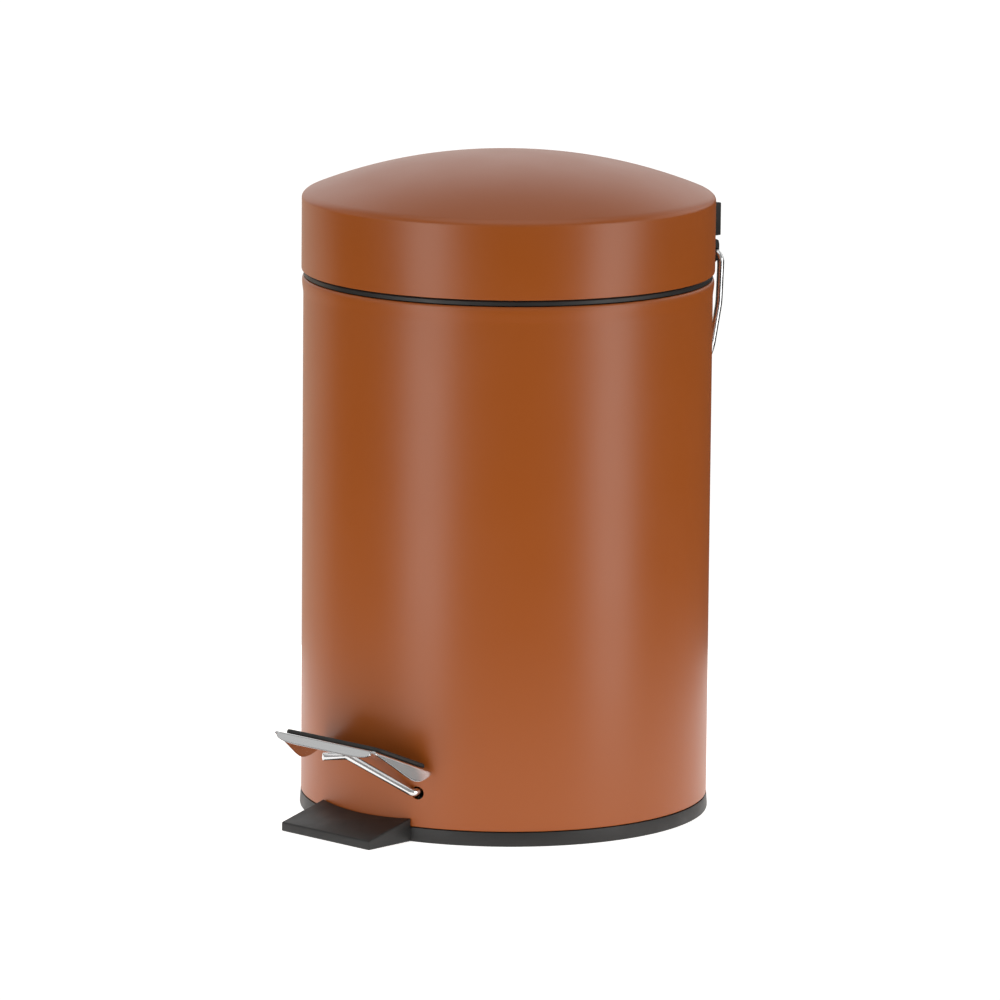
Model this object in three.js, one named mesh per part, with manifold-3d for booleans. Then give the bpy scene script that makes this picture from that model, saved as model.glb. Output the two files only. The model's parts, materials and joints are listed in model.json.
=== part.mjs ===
import * as THREE from 'three';
import { mergeVertices } from 'three/addons/utils/BufferGeometryUtils.js';
import Module from 'manifold-3d';

const wasm = await Module();
wasm.setup();

// ---------- sizes, millimetres, +Z up, front is -Y, floor at Z = 0 ----------
const touchGap = 0.3; // left between pieces that touch
const runGap = 0.3; // radial, around pins that turn

// body
const bodyRadius = 84.2;
const bodyWall = 0.8;
const bodyTop = 221.4;
const beadOut = 0.6;
const beadHeight = 3.0;
const bodyInner = bodyRadius - bodyWall;
const wallFrom = bodyInner - 20; // cuts through the rear walls run between these
const wallTo = bodyRadius + 8;

// base
const ringHeight = 5.9;
const ringFlare = 0.5;
const panWall = 1.2;
const panFloorLow = 1.5;
const panFloorTop = 3.6;
const panUpstand = 14;
const panCentre = 30;
const tongueHalf = 25.2;
const tongueReach = 20.8; // beyond the body
const tongueFront = bodyRadius + tongueReach;
const tongueLow = 3.8;
const tongueHigh = 9.8;
const tongueEdge = 1.0;
const bodyLow = ringHeight + touchGap;
const panOuter = bodyInner - touchGap;
const panInner = panOuter - panWall;

// opening mechanism
const lidOpen = 75;
const rodRadius = 1.4;
const rodX = 4;
const rodWallRoom = 3.6; // rod centre to the body wall
const rodY = bodyInner - rodWallRoom;
const lugHalf = 1.5;
const lugSlotHalf = 2.6;
const lugWeb = 1.9;
const leverRadius = 1.6;
const pivotX = 27.5;
const pivotWallRoom = 13.4; // pivot centre to the front wall
const pivotY = -(bodyInner - pivotWallRoom);
const pivotZ = 15.9;
const sleeveOuter = 2.6;
const sleeveHalf = 5.3;
const axleRadius = 1.4;
const earThick = 1.2;
const holeRoom = 1.1; // around the lever where it crosses the body wall
const holeRadius = leverRadius + holeRoom;
const leverRearZ = 8;
const footHeight = 9;
const footHalf = 3.6;
const guideLowZ = 62;
const guideHighZ = 150;
const guideHigh = 8;
const leverWireZ = pivotZ + sleeveOuter + touchGap + leverRadius;
const rodFootZ = leverRearZ + leverRadius + touchGap;

// bucket
const bucketRimThick = 2.1;
const bucketRimInset = 0.1;
const bucketSideRoom = 7.8; // bucket wall to body wall, at the top
const bucketDraft = 6.6; // how much narrower the bottom is
const bucketTopRadius = bodyInner - bucketSideRoom;
const bucketBottomRadius = bucketTopRadius - bucketDraft;
const bucketWall = 1.2;
const bucketFootRoom = 3; // over the lever when it is raised
const rimLow = bodyTop + touchGap;
const rimTop = rimLow + bucketRimThick;
const bucketSlotHalf = 7;
const bucketSlotDepth = 16;
const bailWire = 1.3;
const bailEdgeRoom = 4.6; // bail hole centre to the rim's edge
const bailHoleX = bodyRadius - bailEdgeRoom;
const bailCorner = 9.6;
const bailReach = bailHoleX - bailCorner;

// lid
const lidOverhang = 0.8;
const lidRadius = bodyRadius + lidOverhang;
const lidWall = 0.8;
const lidSide = 32;
const lidShoulder = 2.2;
const domeRise = 15.9;
const domePower = 2.15;
const lidSlotHalf = 2.1;
const lidSlotHeight = 11;
const lidLow = rimTop + touchGap;
const lidShoulderZ = lidLow + lidSide;
const lidInner = lidRadius - lidWall;

// rear hinge
const hingeBehind = 12.8; // pin centre behind the body
const hingeAboveRim = 3.2; // pin centre above the lid's edge
const hingeY = bodyRadius + hingeBehind;
const hingeZ = lidLow + hingeAboveRim;
const pinRadius = 1.4;
const barrelRadius = 2.7;
const lidBarrelHalf = 11;
const pinHalf = 20;
const hoodHalf = 28;
const hoodBack = hingeY + 3.3;
const hoodRise = 7.4; // hood's lower edge above the lid's edge
const hoodHeight = 13.8;
const hoodLow = lidLow + hoodRise;
const hoodTop = hoodLow + hoodHeight;
const hoodWall = 2;
const hoodRound = 2.5;
const bracketHalf = 27;
const bracketHang = 25.4; // bracket's foot below the body's rim
const bracketLow = bodyTop - bracketHang;
const bracketPad = 3.2;
const screwRadius = 1.4;
const screwHeadRadius = 2.9;
const screwHeadHigh = 1.3;
const lidScrewX = 19;
const lidScrewZ = hoodLow + 7;
const bodyScrewX = 17;
const bodyScrewZ = bracketLow + 8;
const pinHole = pinRadius + runGap;
const lugReach = hingeY - rodY;
const lugRest = (lidOpen / 2) * Math.PI / 180;
const hookZ = hingeZ - lugReach * Math.tan(lugRest);

// carry handle
const handleWire = 1.5;
const handleY = hingeY + 0.3;
const handleBelowPin = 2.9;
const handleZ = hingeZ - handleBelowPin;
const handleSideRoom = 1.9; // handle's eyes outside the hood
const handleHalf = hoodHalf + handleSideRoom;
const handleDrop = 55;
const handleInset = 5.2;

// tread
const treadX = 3.2;
const treadAhead = 24.8; // tread's front edge ahead of the body
const treadY = -(bodyRadius + treadAhead);
const treadZ = 42.7;
const treadTilt = 22.2;
const treadHalf = 28.9;
const treadSplay = 5;
const treadDepth = 33;
const treadSheet = 1.0;
const treadBodyGap = 1.9;
const lipHeight = 4;
const flapDepth = 6.6;
const flapLean = 14;
const padThick = 1.8;
const padInset = 2.2;
const padFront = 3.4;
const padRound = 5;

const bucketLow = leverRearZ + rodRise() + leverRadius + bucketFootRoom;

// ---------- helpers ----------
function toSolid(geometry) {
  const bare = geometry.index ? geometry.toNonIndexed() : geometry.clone();
  bare.deleteAttribute('normal');
  bare.deleteAttribute('uv');
  const welded = mergeVertices(bare, 1e-4);
  const vertProperties = new Float32Array(welded.attributes.position.array);
  const triVerts = new Uint32Array(welded.index.array);
  const sharp = [];
  for (let i = 0; i < triVerts.length; i += 3) {
    const [a, b, c] = [triVerts[i], triVerts[i + 1], triVerts[i + 2]];
    if (a !== b && b !== c && c !== a) sharp.push(a, b, c);
  }
  let volume = 0;
  for (let i = 0; i < sharp.length; i += 3) {
    const [a, b, c] = [sharp[i] * 3, sharp[i + 1] * 3, sharp[i + 2] * 3];
    const p = vertProperties;
    volume += p[a] * (p[b + 1] * p[c + 2] - p[b + 2] * p[c + 1]);
    volume += p[a + 1] * (p[b + 2] * p[c] - p[b] * p[c + 2]);
    volume += p[a + 2] * (p[b] * p[c + 1] - p[b + 1] * p[c]);
  }
  if (volume < 0) {
    for (let i = 0; i < sharp.length; i += 3) [sharp[i], sharp[i + 1]] = [sharp[i + 1], sharp[i]];
  }
  const mesh = new wasm.Mesh({ numProp: 3, vertProperties, triVerts: new Uint32Array(sharp) });
  return new wasm.Manifold(mesh);
}

function toGeometry(solid) {
  const mesh = solid.getMesh();
  const geometry = new THREE.BufferGeometry();
  const position = new Float32Array(mesh.vertProperties);
  geometry.setAttribute('position', new THREE.BufferAttribute(position, 3));
  geometry.setIndex(new THREE.BufferAttribute(new Uint32Array(mesh.triVerts), 1));
  geometry.computeVertexNormals();
  return geometry;
}

function join(...solids) {
  return solids.reduce((sum, next) => sum.add(next));
}

function cut(solid, ...tools) {
  return tools.reduce((rest, tool) => rest.subtract(tool), solid);
}

// a turned solid about Z from [radius, z] pairs, closed on itself or on the axis
function turned(profile, sides = 96) {
  const points = profile.map(([r, z]) => new THREE.Vector2(r, z));
  const first = points[0];
  const last = points[points.length - 1];
  if (first.x > 1e-9 || last.x > 1e-9) points.push(first.clone());
  return toSolid(new THREE.LatheGeometry(points, sides).rotateX(Math.PI / 2));
}

function shapeOf(outline) {
  return new THREE.Shape(outline.map(([a, b]) => new THREE.Vector2(a, b)));
}

function prism(outline, depth, xAxis, yAxis, origin) {
  const geometry = new THREE.ExtrudeGeometry(shapeOf(outline), { depth, bevelEnabled: false });
  const zAxis = new THREE.Vector3().crossVectors(xAxis, yAxis);
  const matrix = new THREE.Matrix4().makeBasis(xAxis, yAxis, zAxis).setPosition(origin);
  return toSolid(geometry.applyMatrix4(matrix));
}

const axisX = new THREE.Vector3(1, 0, 0);
const axisY = new THREE.Vector3(0, 1, 0);
const axisZ = new THREE.Vector3(0, 0, 1);

// outline in (y, z), from x0 to x1
function prismX(outline, x0, x1) {
  return prism(outline, x1 - x0, axisY, axisZ, new THREE.Vector3(x0, 0, 0));
}

// outline in (x, y), from z0 to z1
function prismZ(outline, z0, z1) {
  return prism(outline, z1 - z0, axisX, axisY, new THREE.Vector3(0, 0, z0));
}

function block(x0, x1, y0, y1, z0, z1) {
  const geometry = new THREE.BoxGeometry(x1 - x0, y1 - y0, z1 - z0);
  return toSolid(geometry.translate((x0 + x1) / 2, (y0 + y1) / 2, (z0 + z1) / 2));
}

function rodX2(radius, x0, x1, y, z, sides = 24) {
  const geometry = new THREE.CylinderGeometry(radius, radius, x1 - x0, sides);
  return toSolid(geometry.rotateZ(Math.PI / 2).translate((x0 + x1) / 2, y, z));
}

function rodY2(radius, y0, y1, x, z, sides = 24) {
  const geometry = new THREE.CylinderGeometry(radius, radius, y1 - y0, sides);
  return toSolid(geometry.translate(x, (y0 + y1) / 2, z));
}

function rodZ2(radius, z0, z1, x, y, sides = 24) {
  const geometry = new THREE.CylinderGeometry(radius, radius, z1 - z0, sides);
  return toSolid(geometry.rotateX(Math.PI / 2).translate(x, y, (z0 + z1) / 2));
}

// rounded corners on a 2D or 3D run of points
function rounded(points, radii, steps = 5) {
  const out = [points[0].clone()];
  for (let i = 1; i < points.length - 1; i += 1) {
    const before = points[i - 1].clone().sub(points[i]);
    const after = points[i + 1].clone().sub(points[i]);
    const lengthBefore = before.length();
    const lengthAfter = after.length();
    before.normalize();
    after.normalize();
    const angle = Math.acos(THREE.MathUtils.clamp(before.dot(after), -1, 1));
    const radius = Array.isArray(radii) ? radii[i - 1] : radii;
    const reach = Math.min(radius / Math.tan(angle / 2), lengthBefore * 0.49, lengthAfter * 0.49);
    const start = points[i].clone().addScaledVector(before, reach);
    const end = points[i].clone().addScaledVector(after, reach);
    for (let k = 0; k <= steps; k += 1) {
      const t = k / steps;
      const a = start.clone().multiplyScalar((1 - t) * (1 - t));
      const b = points[i].clone().multiplyScalar(2 * t * (1 - t));
      const c = end.clone().multiplyScalar(t * t);
      out.push(a.add(b).add(c));
    }
  }
  out.push(points[points.length - 1].clone());
  return out;
}

function roundedOutline(outline, radius, steps = 3) {
  const points = outline.map(([a, b]) => new THREE.Vector2(a, b));
  const loop = [points[points.length - 1], ...points, points[0]];
  const radii = Array.isArray(radius) ? radius : points.map(() => radius);
  return rounded(loop, radii, steps).slice(1, -1).map((p) => [p.x, p.y]);
}

class StationCurve extends THREE.Curve {
  constructor(stations) {
    super();
    this.stations = stations;
  }

  getUtoTmapping(u) {
    return u;
  }

  getPoint(t, target = new THREE.Vector3()) {
    const last = this.stations.length - 1;
    const at = Math.min(Math.max(t * last, 0), last);
    const low = Math.min(Math.floor(at + 1e-9), last - 1);
    return target.lerpVectors(this.stations[low], this.stations[low + 1], at - low);
  }

  getTangent(t, target = new THREE.Vector3()) {
    const last = this.stations.length - 1;
    const at = Math.round(t * last);
    const before = this.stations[Math.max(at - 1, 0)];
    const after = this.stations[Math.min(at + 1, last)];
    const here = this.stations[at];
    const entering = at > 0 ? here.clone().sub(before).normalize() : new THREE.Vector3();
    const leaving = at < last ? after.clone().sub(here).normalize() : new THREE.Vector3();
    return target.copy(entering.add(leaving)).normalize();
  }
}

// a bent wire through corner points
function wire(corners, radius, bends, sides = 10, steps = 5) {
  const stations = rounded(corners.map(([x, y, z]) => new THREE.Vector3(x, y, z)), bends, steps);
  const clean = stations.filter((p, i) => i === 0 || p.distanceTo(stations[i - 1]) > 0.05);
  const circle = [];
  for (let k = 0; k < sides; k += 1) {
    const a = (k + 0.5) * 2 * Math.PI / sides;
    circle.push([radius * Math.cos(a), radius * Math.sin(a)]);
  }
  const geometry = new THREE.ExtrudeGeometry(shapeOf(circle), {
    steps: clean.length - 1,
    bevelEnabled: false,
    extrudePath: new StationCurve(clean),
  });
  return toSolid(geometry);
}

const paint = { color: 0x9a5c35, roughness: 0.42, metalness: 0.35 };
const blackPlastic = { color: 0x2c2b2a, roughness: 0.55, metalness: 0 };
const blackRubber = { color: 0x232221, roughness: 0.75, metalness: 0 };
const chrome = { color: 0xd6d7d8, roughness: 0.12, metalness: 1 };
const zinc = { color: 0xa9abad, roughness: 0.35, metalness: 1 };

const group = new THREE.Group();

function addPart(name, solid, finish) {
  const mesh = new THREE.Mesh(toGeometry(solid), new THREE.MeshStandardMaterial(finish));
  mesh.name = name;
  group.add(mesh);
}

// ---------- body ----------
function bodyShell() {
  const profile = [
    [bodyInner, bodyLow],
    [bodyRadius, bodyLow],
    [bodyRadius, bodyTop - beadHeight],
    [bodyRadius + beadOut * 0.75, bodyTop - beadHeight * 0.8],
    [bodyRadius + beadOut, bodyTop - beadHeight * 0.5],
    [bodyRadius + beadOut * 0.75, bodyTop - beadHeight * 0.2],
    [bodyRadius, bodyTop],
    [bodyInner, bodyTop],
  ];
  const pedalHole = rodY2(holeRadius, -bodyRadius - 2, pivotY, pivotX, holeHeight(), 32);
  const slot = block(-lidSlotHalf - 0.6, lidSlotHalf + 0.6, wallFrom, wallTo, slotLow(), bodyTop + 5);
  const screws = [-bodyScrewX, bodyScrewX].map((x) => rodY2(screwRadius + runGap, wallFrom, wallTo, x, bodyScrewZ));
  return cut(turned(profile), pedalHole, slot, ...screws);
}

// the lever crosses the hole in its upper half and drops as the pedal goes down
function leverHoleZ() {
  const run = -Math.sqrt(bodyRadius ** 2 - pivotX ** 2) - pivotY;
  return leverWireZ + (leverRearZ - leverWireZ) * run / (rodY - pivotY);
}

function pedalSwing() {
  const rearRest = Math.asin((leverRearZ - pivotZ) / leverArm());
  const rearTop = Math.asin((leverRearZ - pivotZ + rodRise()) / leverArm());
  return rearTop - rearRest;
}

function leverArm() {
  return Math.hypot(rodY - pivotY, leverRearZ - pivotZ);
}

function rodRise() {
  return 2 * lugReach * Math.tan(lugRest);
}

function holeHeight() {
  const run = Math.sqrt(bodyRadius ** 2 - pivotX ** 2) + pivotY;
  return leverHoleZ() - Math.sin(pedalSwing()) * run / 2;
}

function slotLow() {
  return hookZ - lugSlotHalf - lugWeb - 1.2;
}

// ---------- base with its front tongue ----------
function basePan() {
  const ring = turned([
    [0, 0],
    [panCentre, 0],
    [panCentre + 1, panFloorLow],
    [panOuter - 3.5, panFloorLow],
    [panOuter - 2.5, 0],
    [bodyRadius + ringFlare, 0],
    [bodyRadius + ringFlare, 1.2],
    [bodyRadius + ringFlare * 0.3, ringHeight],
    [panOuter, ringHeight],
    [panOuter, panUpstand],
    [panInner, panUpstand],
    [panInner, panFloorTop],
    [0, panFloorTop],
  ]);
  const back = Math.sqrt((bodyRadius - 2) ** 2 - tongueHalf ** 2) - 6;
  const slope = (tongueHigh - tongueLow) / (tongueFront - Math.sqrt(bodyRadius ** 2 - tongueHalf ** 2));
  const topBack = tongueLow + slope * (tongueFront - back);
  const side = [
    [-tongueFront, 0],
    [-back, 0],
    [-back, topBack],
    [-tongueFront + tongueEdge, tongueLow + slope * tongueEdge],
    [-tongueFront, tongueLow - tongueEdge],
  ];
  const wedge = prismX(side, -tongueHalf, tongueHalf);
  const plan = roundedOutline([
    [-tongueHalf, -tongueFront],
    [tongueHalf, -tongueFront],
    [tongueHalf, -back],
    [-tongueHalf, -back],
  ], [2.2, 2.2, 0.01, 0.01]);
  const column = prismZ(plan, -1, 20);
  const wedgeRound = wedge.intersect(column);
  const bodyRoom = turned([[0, ringHeight], [bodyRadius + touchGap, ringHeight], [bodyRadius + touchGap, 40], [0, 40]]);
  const tongue = cut(wedgeRound, bodyRoom, turned([[0, -1], [panOuter - 3, -1], [panOuter - 3, 50], [0, 50]]));
  const pilot = bracketScrews().map(([x, y]) => rodZ2(screwRadius + runGap, -1, 8, x, y, 16));
  return cut(join(ring, tongue), ...pilot);
}

// ---------- inner bucket ----------
function innerBucket() {
  const rimRadius = bodyRadius - bucketRimInset;
  const profile = [
    [0, bucketLow],
    [bucketBottomRadius - 4, bucketLow],
    [bucketBottomRadius - 1, bucketLow + 1.2],
    [bucketBottomRadius, bucketLow + 4],
    [bucketTopRadius, rimLow],
    [rimRadius, rimLow],
    [rimRadius, rimTop],
    [bucketTopRadius - bucketWall, rimTop],
    [bucketBottomRadius - bucketWall, bucketLow + 4],
    [bucketBottomRadius - 4, bucketLow + bucketWall],
    [0, bucketLow + bucketWall],
  ];
  const shell = turned(profile);
  const slot = block(-bucketSlotHalf, bucketSlotHalf, wallFrom, wallTo, rimTop - bucketSlotDepth, rimTop + 5);
  const ears = [-1, 1].map((side) => {
    const outline = roundedOutline([[-4, rimLow + 0.5], [4, rimLow + 0.5], [3.4, rimTop + 5], [-3.4, rimTop + 5]],
      [0.01, 0.01, 3, 3]);
    const x = side * bailHoleX;
    return prismX(outline, Math.min(x, x + side * 2.4), Math.max(x, x + side * 2.4));
  });
  const bore = rodX2(bailWire + runGap, -wallTo, wallTo, 0, bailZ(), 20);
  return cut(join(shell, ...ears), slot, bore);
}

function bailZ() {
  return rimTop + touchGap + bailWire;
}

function bucketBail() {
  const end = bailHoleX + 2.4;
  const corners = [[-end, 0, bailZ()], [-bailReach - 3, 0, bailZ()]];
  for (let k = 0; k <= 16; k += 1) {
    const a = Math.PI + Math.PI * (k + 0.5) / 17;
    corners.push([(bailReach + 3) * Math.cos(a), bailReach * Math.sin(a) - 1, bailZ()]);
  }
  corners.push([bailReach + 3, 0, bailZ()], [end, 0, bailZ()]);
  return wire(corners, bailWire, 3, 8, 2);
}

// ---------- lid ----------
function domeZ(r, drop) {
  const edge = lidRadius - 1.7;
  return lidShoulderZ + domeRise * (1 - Math.min(r / edge, 1) ** domePower) - drop;
}

function lidShell() {
  const profile = [
    [lidInner, lidLow],
    [lidRadius, lidLow],
    [lidRadius, lidShoulderZ - lidShoulder],
    [lidRadius - 0.25, lidShoulderZ - lidShoulder * 0.5],
    [lidRadius - 0.8, lidShoulderZ - lidShoulder * 0.14],
  ];
  const rings = [0.96, 0.87, 0.74, 0.58, 0.4, 0.2];
  const edge = lidRadius - 1.7;
  profile.push([edge, lidShoulderZ + 0.1]);
  for (const t of rings) profile.push([edge * t, domeZ(edge * t, 0)]);
  profile.push([0, domeZ(0, 0)], [0, domeZ(0, lidWall)]);
  for (const t of rings.slice().reverse()) profile.push([edge * t, domeZ(edge * t, lidWall)]);
  profile.push([edge - 0.6, lidShoulderZ - lidWall], [lidInner, lidShoulderZ - lidShoulder]);
  const slot = block(-lidSlotHalf, lidSlotHalf, wallFrom, wallTo, lidLow - 5, lidLow + lidSlotHeight);
  const screws = [-lidScrewX, lidScrewX].map((x) => rodY2(screwRadius + runGap, wallFrom, wallTo, x, lidScrewZ));
  return cut(turned(profile), slot, ...screws);
}

// ---------- rear hinge ----------
function lugOutline(grow) {
  const ux = -Math.cos(lugRest);
  const uz = -Math.sin(lugRest);
  const near = lugReach - 0.4;
  const far = lugReach / Math.cos(lugRest) + 0.4;
  const half = lugSlotHalf + grow;
  const out = [];
  for (let k = 0; k <= 10; k += 1) {
    const a = Math.PI / 2 + Math.PI * k / 10;
    const along = near + half * Math.cos(a);
    const across = half * Math.sin(a);
    out.push([hingeY + ux * along - uz * across, hingeZ + uz * along + ux * across]);
  }
  for (let k = 0; k <= 10; k += 1) {
    const a = -Math.PI / 2 + Math.PI * k / 10;
    const along = far + half * Math.cos(a);
    const across = half * Math.sin(a);
    out.push([hingeY + ux * along - uz * across, hingeZ + uz * along + ux * across]);
  }
  return out;
}

function lidHingeBracket() {
  const front = lidRadius - 8;
  const outline = roundedOutline([[front, hoodLow], [hoodBack, hoodLow], [hoodBack, hoodTop], [front, hoodTop]],
    [0.01, 0.8, hoodRound, 0.01], 5);
  const plan = roundedOutline([[-hoodHalf, front], [hoodHalf, front], [hoodHalf, hoodBack], [-hoodHalf, hoodBack]],
    [0.01, 0.01, hoodRound, hoodRound], 5);
  const outer = prismX(outline, -hoodHalf, hoodHalf).intersect(prismZ(plan, hoodLow - 1, hoodTop + 1));
  const lidRoom = rodZ2(lidRadius + touchGap, hoodLow - 5, hoodTop + 5, 0, 0, 96);
  const cavities = [-1, 1].map((side) => {
    const inner = side * (lidBarrelHalf + 2);
    const far = side * (hoodHalf - hoodWall);
    const x0 = Math.min(inner, far);
    const x1 = Math.max(inner, far);
    return block(x0, x1, lidRadius + touchGap + hoodWall, hoodBack - hoodWall, hoodLow - 1, hoodTop - hoodWall);
  });
  const neck = prismX([
    [hingeY - barrelRadius, hingeZ],
    [hingeY + barrelRadius, hingeZ],
    [hingeY + barrelRadius, hoodLow + 1],
    [hingeY - barrelRadius, hoodLow + 1],
  ], -lidBarrelHalf, lidBarrelHalf);
  const barrel = rodX2(barrelRadius, -lidBarrelHalf, lidBarrelHalf, hingeY, hingeZ, 28);
  const lug = prismX(lugOutline(lugWeb), -lugHalf, lugHalf);
  const webLow = hingeZ - (lugReach - 0.4) * Math.sin(lugRest);
  const web = prismX([
    [hingeY - lugReach * 0.92, webLow],
    [lidRadius - 1.2, webLow],
    [lidRadius + 3, hoodLow],
    [lidRadius + 3, lidLow + lidSlotHeight - 1.2],
    [lidRadius - 4, lidLow + lidSlotHeight - 1.2],
  ], -lugHalf, lugHalf);
  const hood = cut(outer, lidRoom, ...cavities);
  const whole = join(hood, neck, barrel, web, lug);
  const pin = rodX2(pinHole, -lidBarrelHalf - 1, lidBarrelHalf + 1, hingeY, hingeZ);
  const slot = prismX(lugOutline(0), -lugHalf - 1, lugHalf + 1);
  const screws = [-lidScrewX, lidScrewX].map((x) => rodY2(screwRadius + runGap, wallFrom, hoodBack - 7, x, lidScrewZ));
  return cut(whole, pin, slot, ...screws);
}

function bodyHingeBracket() {
  const inside = bodyRadius - 9;
  const outline = [
    [inside, bracketLow],
    [bodyRadius + bracketPad + 0.6, bracketLow],
    [bodyRadius + bracketPad + 2.4, bracketLow + 3],
    [hingeY - 3.6, bodyTop - 4],
    [handleY + 1.4, handleZ - 3.2],
    [handleY + 2.6, handleZ - 2.0],
    [hingeY + barrelRadius, handleZ],
    [hingeY + barrelRadius, hingeZ],
    [hingeY + barrelRadius * 0.71, hingeZ + barrelRadius * 0.71],
    [hingeY, hingeZ + barrelRadius],
    [hingeY - 3, hingeZ + barrelRadius],
    [hingeY - 6, hingeZ - 1],
    [hingeY - 8, bodyTop - 1],
    [bodyRadius + 1.6, bodyTop - 5],
    [inside, bodyTop - 5],
  ];
  const plan = roundedOutline([[-bracketHalf, wallFrom], [bracketHalf, wallFrom], [bracketHalf, hingeY + 3], [-bracketHalf, hingeY + 3]],
    [0.01, 0.01, 1.2, 1.2], 4);
  const block0 = prismX(outline, -bracketHalf, bracketHalf).intersect(prismZ(plan, bracketLow - 6, hingeZ + 8));
  const bodyRoom = rodZ2(bodyRadius + touchGap, bracketLow - 40, hingeZ + 30, 0, 0, 96);
  const gap = lidBarrelHalf + touchGap;
  const barrelRoom = block(-gap, gap, hingeY - barrelRadius - 0.9, hingeY + 20, hingeZ - barrelRadius - 0.9, hingeZ + 30);
  const lugRoom = block(-lidSlotHalf - 0.6, lidSlotHalf + 0.6, bodyInner - 3.4, hingeY - 6.2, slotLow(), hingeZ + 12.7);
  const rim = rodZ2(bodyRadius + beadOut + touchGap, bodyTop - beadHeight - 1, bodyTop + 1, 0, 0, 96);
  const lidRoom = rodZ2(lidRadius + 1, bodyTop, bodyTop + 20, 0, 0, 96);
  const pin = rodX2(pinHole, -pinHalf - touchGap, pinHalf + touchGap, hingeY, hingeZ);
  const handle = [-1, 1].map((side) => {
    const inner = side * (bracketHalf - handleInset - touchGap);
    const outer = side * (bracketHalf + 2);
    return rodX2(handleWire + runGap, Math.min(inner, outer), Math.max(inner, outer), handleY, handleZ);
  });
  const screws = [-bodyScrewX, bodyScrewX].map((x) => rodY2(screwRadius + runGap, wallFrom, bodyRadius + 3.4, x, bodyScrewZ));
  return cut(block0, bodyRoom, barrelRoom, lugRoom, rim, lidRoom, pin, ...handle, ...screws);
}

// pan-head screw driven along +Y from the inside of a round wall
function wallScrew(x, z, innerRadius, reach) {
  const wallY = Math.sqrt(innerRadius ** 2 - (Math.abs(x) + screwHeadRadius) ** 2) - 0.1;
  const head = rodY2(screwHeadRadius, wallY - screwHeadHigh, wallY, x, z, 20);
  const shank = rodY2(screwRadius, wallY - 0.5, reach, x, z, 16);
  const cross = join(
    block(x - 1.6, x + 1.6, wallY - 3, wallY - screwHeadHigh + 0.6, z - 0.35, z + 0.35),
    block(x - 0.35, x + 0.35, wallY - 3, wallY - screwHeadHigh + 0.6, z - 1.6, z + 1.6),
  );
  return cut(join(head, shank), cross);
}

function hingePin() {
  return rodX2(pinRadius, -pinHalf, pinHalf, hingeY, hingeZ);
}

// ---------- carry handle ----------
function carryHandle() {
  const low = handleZ - handleDrop;
  const end = bracketHalf - handleInset;
  const half = [
    [end, handleZ],
    [handleHalf, handleZ],
    [handleHalf - 0.9, handleZ - 21],
    [handleHalf - 4.9, handleZ - 41],
    [handleHalf - 12, low + 1.6],
  ];
  const right = half.map(([x, z]) => [x, handleY, z]);
  const left = half.slice().reverse().map(([x, z]) => [-x, handleY, z]);
  return wire([...right, ...left], handleWire, [4, 30, 22, 14, 14, 22, 30, 4], 12, 5);
}

// ---------- push rod and its small pieces ----------
function pushRod() {
  const corners = [
    [rodX, rodY, rodFootZ + 2],
    [rodX, rodY, hookZ],
    [-5.4, rodY, hookZ],
  ];
  return wire(corners, rodRadius, 1.9, 12, 5);
}

function rodClip() {
  const x0 = -lugHalf - 2.4;
  return cut(rodX2(3.1, x0, x0 + 0.9, rodY, hookZ, 20), rodX2(rodRadius + 0.1, x0 - 1, x0 + 2, rodY, hookZ, 20));
}

function rodFoot() {
  const block0 = block(rodX - footHalf, rodX + footHalf, rodY - 3, rodY + 1.2, rodFootZ, rodFootZ + footHeight);
  return cut(block0, rodZ2(rodRadius + 0.1, rodFootZ + 1.7, rodFootZ + footHeight + 1, rodX, rodY, 20));
}

function rodGuide(z) {
  const half = 9;
  const wallRadius = bodyInner - touchGap;
  const outline = roundedOutline([[rodX - half, rodY - 2.6], [rodX + half, rodY - 2.6], [rodX + half, wallRadius + 1], [rodX - half, wallRadius + 1]],
    [1.5, 1.5, 0.01, 0.01]);
  const raw = prismZ(outline, z - guideHigh / 2, z + guideHigh / 2);
  const within = raw.intersect(rodZ2(wallRadius, z - 20, z + 20, 0, 0, 96));
  const relief = [-1, 1].map((side) => {
    const from = rodX + side * 3.6;
    const to = rodX + side * 12;
    return block(Math.min(from, to), Math.max(from, to), rodY - 20, rodY + 0.4, z - 20, z + 20);
  });
  return cut(within, ...relief, rodZ2(rodRadius + runGap, z - 20, z + 20, rodX, rodY, 20));
}

// ---------- pedal ----------
function pedalLever() {
  const frontY = -Math.sqrt(bodyRadius ** 2 - pivotX ** 2);
  const slope = (leverRearZ - leverWireZ) / (rodY - pivotY);
  const lineZ = (y) => leverWireZ + slope * (y - pivotY);
  const low = treadZ - 6.24 - leverRadius * 1.1;
  const corners = [
    [treadX - 4.6, treadY + 3.9, low + 0.1],
    [treadX + 0.9, treadY + 12.6, low],
    [pivotX, frontY - 2.6, lineZ(frontY) - 0.5],
    [pivotX, frontY + 2, lineZ(frontY + 2)],
    [pivotX, pivotY + 14, lineZ(pivotY + 14)],
    [rodX + 6.4, rodY - 22, lineZ(rodY - 22)],
    [rodX + 6.4, rodY, leverRearZ],
    [rodX - 4.6, rodY, leverRearZ],
  ];
  return wire(corners, leverRadius, [4, 2.6, 6, 14, 14, 5], 12, 5);
}

// local frame of the tread: x across, v back along the plate, n out of its top
function treadFrame() {
  const tilt = THREE.MathUtils.degToRad(treadTilt);
  const v = new THREE.Vector3(0, Math.cos(tilt), -Math.sin(tilt));
  const n = new THREE.Vector3().crossVectors(axisX, v);
  return { v, n, origin: new THREE.Vector3(treadX, treadY, treadZ) };
}

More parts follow.
